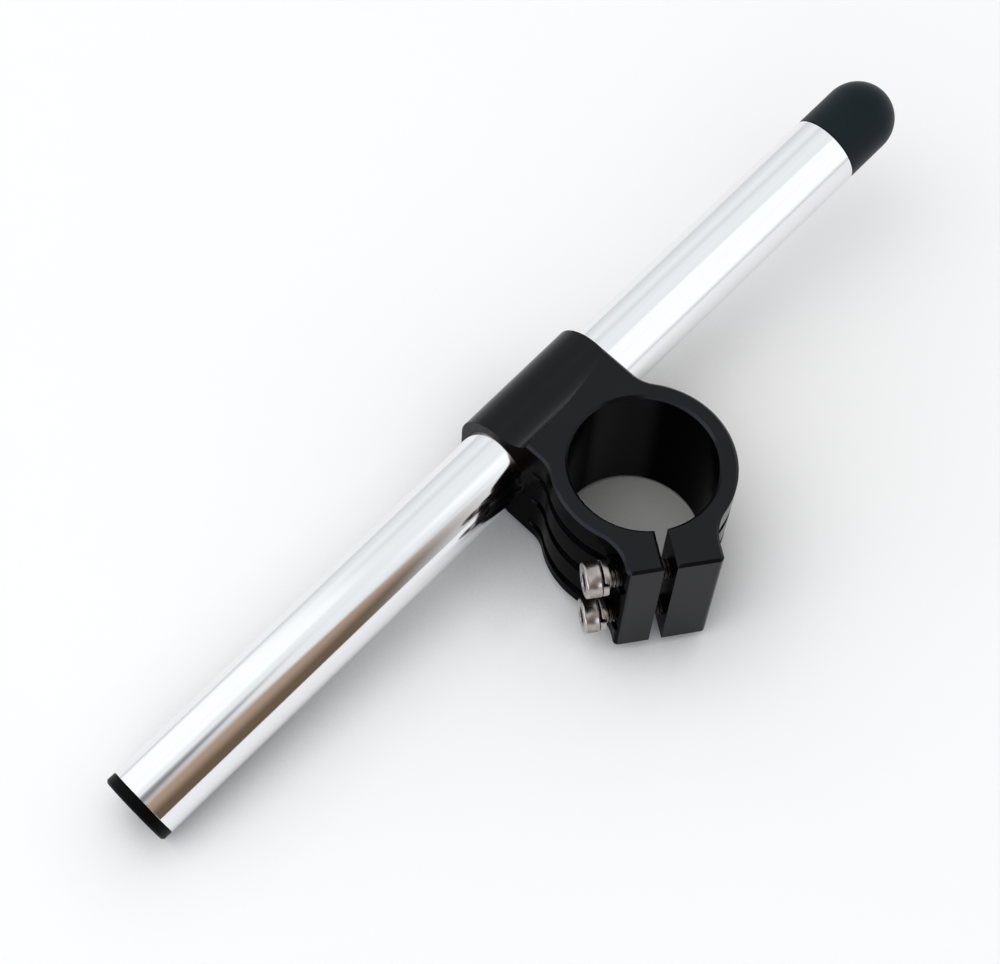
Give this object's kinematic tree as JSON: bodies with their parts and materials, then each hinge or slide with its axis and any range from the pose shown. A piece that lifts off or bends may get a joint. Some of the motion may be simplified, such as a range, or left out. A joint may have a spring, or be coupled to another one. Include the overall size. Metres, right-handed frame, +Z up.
{
  "type": "clip-on handlebar",
  "caption": "Split clamp with pinch screws that grips a fork tube and carries a sloping straight handlebar tube, with a flat plug at the grip end and a domed cap at the inner end.",
  "frame": {"origin": "Middle of the fork bore, at half the clamp's height", "axes": "+Z runs up the fork tube, +Y points from the fork bore to the bar, +X follows the bar, seen from above, towards its raised inner end"},
  "size_m": [0.2948, 0.0841, 0.074],
  "materials": {
    "black_anodised": "black anodised, half gloss, with faint milling",
    "polished_aluminium": "polished along the tube and anodised clear",
    "black_plastic": "moulded, fine satin",
    "black_rubber": "moulded, satin",
    "stainless_steel": "turned, knurled head",
    "blackened_steel": "blackened"
  },
  "bodies": {
    "root": {"clamp_body": "black_anodised", "bar_tube": "polished_aluminium", "bar_end_plug": "black_plastic", "bar_end_cap": "black_rubber", "pinch_screws": "stainless_steel", "spring_washers": "stainless_steel", "bar_lock_screw": "blackened_steel"}
  },
  "joints": []
}
